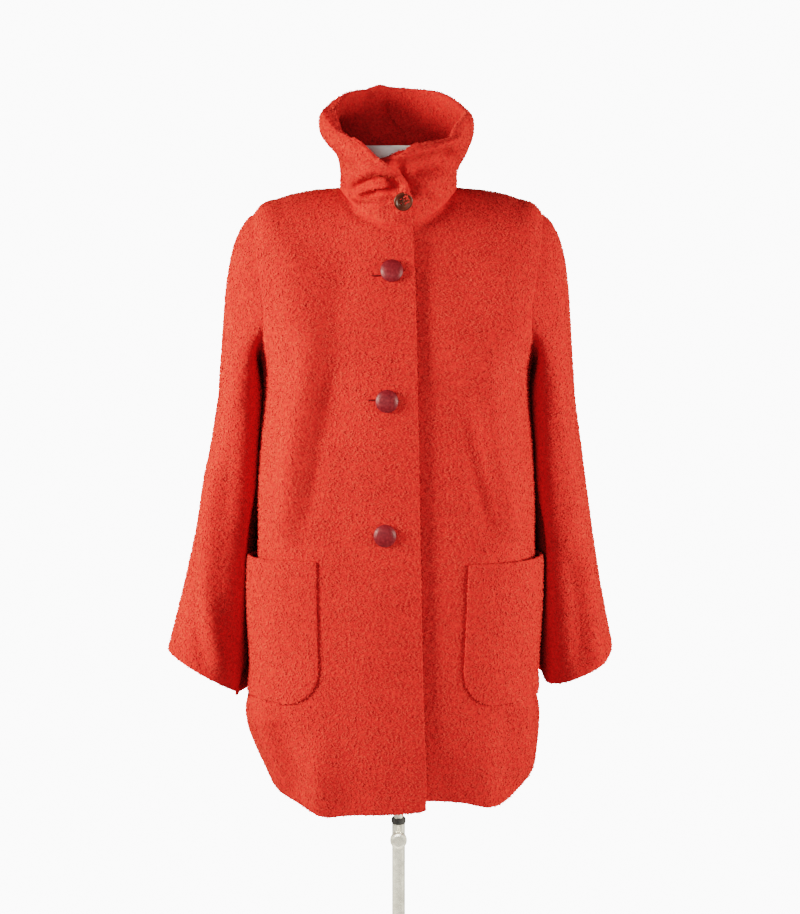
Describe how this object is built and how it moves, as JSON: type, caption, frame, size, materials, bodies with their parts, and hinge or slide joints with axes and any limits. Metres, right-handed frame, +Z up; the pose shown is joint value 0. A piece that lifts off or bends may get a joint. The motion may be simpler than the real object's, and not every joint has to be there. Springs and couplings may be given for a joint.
{
  "type": "short coat on a dress form with pole stand",
  "caption": "Short buttoned coat of thick brushed cloth with a tall standing collar, wide sleeves and patch pockets, hung on a limbless dress form on a pole stand.",
  "frame": {"origin": "centre of the base plate's underside, on the floor", "axes": "+Z up along the pole; the coat's front faces -Y; +X is the wearer's left"},
  "size_m": [0.605, 0.3402, 1.5467],
  "materials": {
    "coat_cloth": "matte",
    "button_leather": "satin",
    "button_horn": "satin",
    "form_jersey": "matte",
    "pole_chrome": "polished",
    "seal_rubber": "matte",
    "base_steel": "satin"
  },
  "bodies": {
    "stand": {"base_plate": "base_steel", "outer_pole": "pole_chrome", "pole_seal": "seal_rubber", "clamp_boss": "pole_chrome"},
    "mast": {"inner_pole": "pole_chrome"},
    "dress": {"dress_form": "form_jersey", "front_right": "coat_cloth", "front_left": "coat_cloth", "back": "coat_cloth", "sleeve_right": "coat_cloth", "sleeve_left": "coat_cloth", "collar": "coat_cloth", "pocket_right": "coat_cloth", "pocket_left": "coat_cloth", "button_top": "button_leather", "button_middle": "button_leather", "button_bottom": "button_leather", "button_collar": "button_horn"},
    "knob": {"clamp_knob": "pole_chrome"}
  },
  "joints": [
    {"name": "height_slide", "type": "slide", "parent": "stand", "child": "mast", "axis": [0, 0, 1], "range_m": [-0.15, 0.2]},
    {"name": "form_turn", "type": "hinge", "parent": "mast", "child": "dress", "pos_m": [0, 0, 0.8], "axis": [0, 0, 1], "continuous": true},
    {"name": "knob_turn", "type": "hinge", "parent": "stand", "child": "knob", "pos_m": [0, -0.02, 0.52], "axis": [0, -1, 0], "continuous": true}
  ]
}
